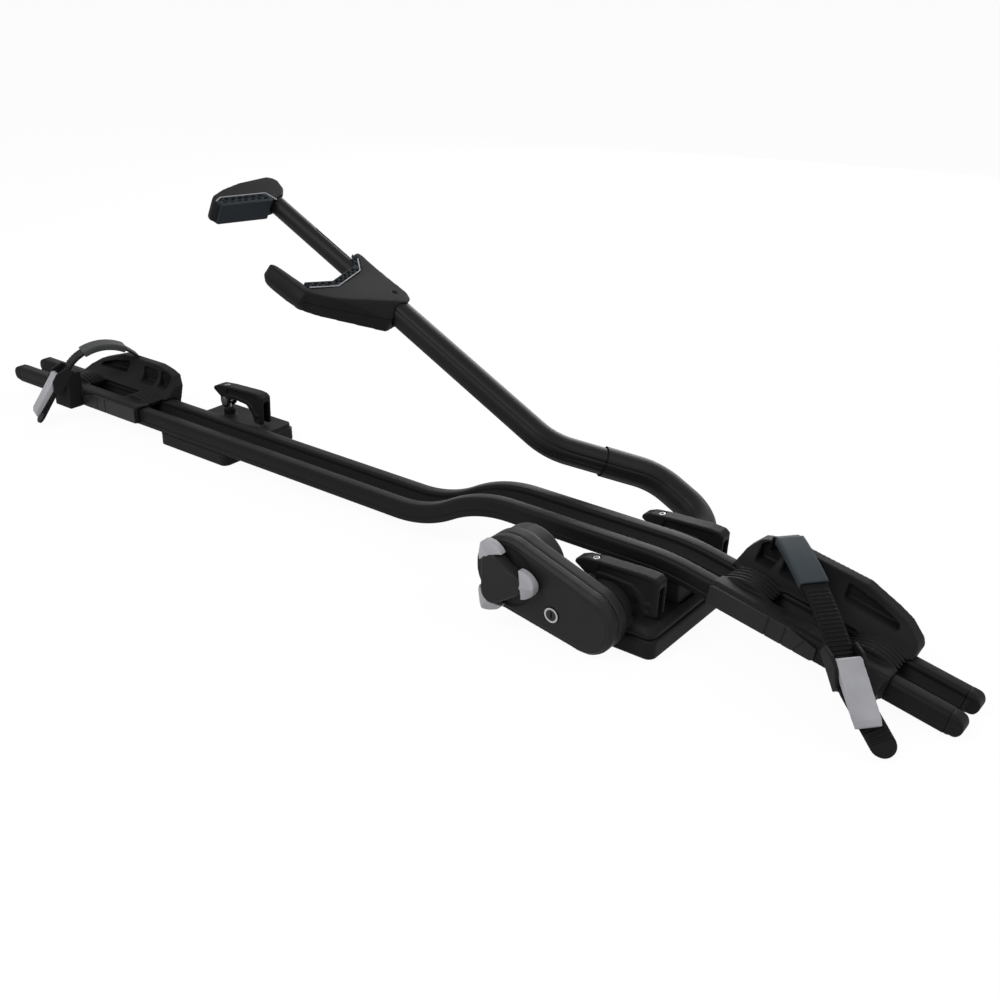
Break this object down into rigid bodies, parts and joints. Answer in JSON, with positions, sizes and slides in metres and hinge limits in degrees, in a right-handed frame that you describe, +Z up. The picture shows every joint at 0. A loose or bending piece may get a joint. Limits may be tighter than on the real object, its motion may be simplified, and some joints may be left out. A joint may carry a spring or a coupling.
{
  "type": "roof mounted bike carrier",
  "caption": "Upright roof bike carrier: a bent twin-ridge rail on clamping feet, a folding arm with a knob-driven frame jaw, and strapped wheel holders.",
  "frame": {"origin": "on the underside of the front foot's rubber pad, straight below the arm's pivot", "axes": "+X along the rail to the front end, +Y to the far side, where the arm leaves the foot, +Z up"},
  "size_m": [1.4286, 0.2959, 0.3617],
  "materials": {
    "rail_metal": "satin black anodised",
    "arm_metal": "satin black anodised",
    "black_plastic": "fine grain",
    "panel_plastic": "smooth matte",
    "pale_plastic": "smooth matte",
    "bush_plastic": "smooth",
    "foot_rubber": "matte",
    "jaw_rubber": "matte",
    "blue_rubber": "matte",
    "grey_rubber": "matte",
    "strap_plastic": "ribbed",
    "steel": "zinc plated",
    "lock_metal": "polished",
    "clutch_brass": "satin"
  },
  "bodies": {
    "carrier": {"rail": "rail_metal", "rear_end_cap": "black_plastic", "front_end_cap": "black_plastic", "front_base": "black_plastic", "base_cover": "black_plastic", "base_pad": "foot_rubber", "base_screws": "steel", "pivot_bushes": "bush_plastic", "rail_saddle": "black_plastic", "rail_bolts": "steel", "front_tray": "black_plastic", "front_side_panel": "panel_plastic", "front_strap_band": "strap_plastic", "front_rim_pad": "blue_rubber", "front_buckle": "black_plastic"},
    "near_bolt": {"near_t_bolt": "steel", "near_barrel_nut": "steel"},
    "near_lever": {"near_lever": "black_plastic"},
    "far_bolt": {"far_t_bolt": "steel", "far_barrel_nut": "steel"},
    "far_lever": {"far_lever": "black_plastic"},
    "rear_foot": {"rear_foot": "black_plastic", "rear_foot_pad": "foot_rubber", "rear_slide_nut": "steel", "rear_foot_screws": "steel"},
    "rear_bolt": {"rear_t_bolt": "steel", "rear_barrel_nut": "steel"},
    "rear_lever": {"rear_lever": "black_plastic"},
    "arm": {"arm_shaft": "steel", "lower_arm": "arm_metal", "arm_tube": "arm_metal", "knob_housing": "black_plastic", "housing_cover": "black_plastic", "arm_screws": "steel", "lock_bezel": "lock_metal", "pull_wire": "steel", "head_lower_shell": "black_plastic", "head_upper_shell": "black_plastic", "rod_guide": "bush_plastic", "lower_jaw_grip": "jaw_rubber"},
    "jaw": {"jaw_rod": "arm_metal", "upper_jaw": "black_plastic", "upper_jaw_grip": "jaw_rubber"},
    "knob": {"knob_core": "black_plastic", "knob_grips": "pale_plastic", "knob_spindle": "steel", "torque_clutch": "clutch_brass", "wire_drum": "steel"},
    "lock": {"lock_barrel": "lock_metal"},
    "front_pump": {"front_pump_lever": "pale_plastic"},
    "rear_holder": {"rear_tray": "black_plastic", "rear_side_panel": "panel_plastic", "rear_strap_band": "strap_plastic", "rear_rim_pad": "grey_rubber", "rear_buckle": "black_plastic"},
    "rear_pump": {"rear_pump_lever": "pale_plastic"}
  },
  "joints": [
    {"name": "arm_fold", "type": "hinge", "parent": "carrier", "child": "arm", "pos_m": [0, 0, 0.037], "axis": [0, 1, 0], "range_deg": [-20, 55]},
    {"name": "knob_turn", "type": "hinge", "parent": "arm", "child": "knob", "pos_m": [-0.091, -0.12, 0.06], "axis": [0, 1, 0], "range_deg": [0, 491.1]},
    {"name": "jaw_slide", "type": "slide", "parent": "arm", "child": "jaw", "axis": [0.891, 0, -0.454], "range_m": [0, 0.12]},
    {"name": "lock_turn", "type": "hinge", "parent": "arm", "child": "lock", "pos_m": [-0.036, -0.12, 0.0345], "axis": [0, 1, 0], "range_deg": [0, 90]},
    {"name": "near_bolt_draw", "type": "slide", "parent": "carrier", "child": "near_bolt", "axis": [0, 0, -1], "range_m": [0, 0.0025]},
    {"name": "near_lever_open", "type": "hinge", "parent": "near_bolt", "child": "near_lever", "pos_m": [-0.023, -0.0625, 0.057], "axis": [0, -1, 0], "range_deg": [0, 75]},
    {"name": "far_bolt_draw", "type": "slide", "parent": "carrier", "child": "far_bolt", "axis": [0, 0, -1], "range_m": [0, 0.0025]},
    {"name": "far_lever_open", "type": "hinge", "parent": "far_bolt", "child": "far_lever", "pos_m": [-0.023, 0.0625, 0.057], "axis": [0, -1, 0], "range_deg": [0, 75]},
    {"name": "rear_foot_slide", "type": "slide", "parent": "carrier", "child": "rear_foot", "axis": [1, 0, 0], "range_m": [-0.03, 0.15]},
    {"name": "rear_bolt_draw", "type": "slide", "parent": "rear_foot", "child": "rear_bolt", "axis": [0, 0, -1], "range_m": [0, 0.0025]},
    {"name": "rear_lever_open", "type": "hinge", "parent": "rear_bolt", "child": "rear_lever", "pos_m": [-0.714, 0.0625, 0.046], "axis": [0, -1, 0], "range_deg": [0, 75]},
    {"name": "rear_holder_slide", "type": "slide", "parent": "carrier", "child": "rear_holder", "axis": [1, 0, 0], "range_m": [-0.085, 0.02]},
    {"name": "front_pump_open", "type": "hinge", "parent": "carrier", "child": "front_pump", "pos_m": [0.24179, -0.06036, 0.05915], "axis": [-0.6639, -0.7478, 0], "range_deg": [0, 55], "stiffness_Nm_per_rad": 0.05, "springref_deg": -17.19},
    {"name": "rear_pump_open", "type": "hinge", "parent": "rear_holder", "child": "rear_pump", "pos_m": [-0.93096, -0.06118, 0.06595], "axis": [-0.9252, 0.3795, 0], "range_deg": [0, 55], "stiffness_Nm_per_rad": 0.05, "springref_deg": -17.19}
  ],
  "couplings": [
    {"joint": "knob_turn", "follows": "jaw_slide", "rad_per_m": 71.42},
    {"joint": "near_lever_open", "follows": "near_bolt_draw", "rad_per_m": 523.59},
    {"joint": "far_lever_open", "follows": "far_bolt_draw", "rad_per_m": 523.59},
    {"joint": "rear_lever_open", "follows": "rear_bolt_draw", "rad_per_m": 523.59}
  ]
}
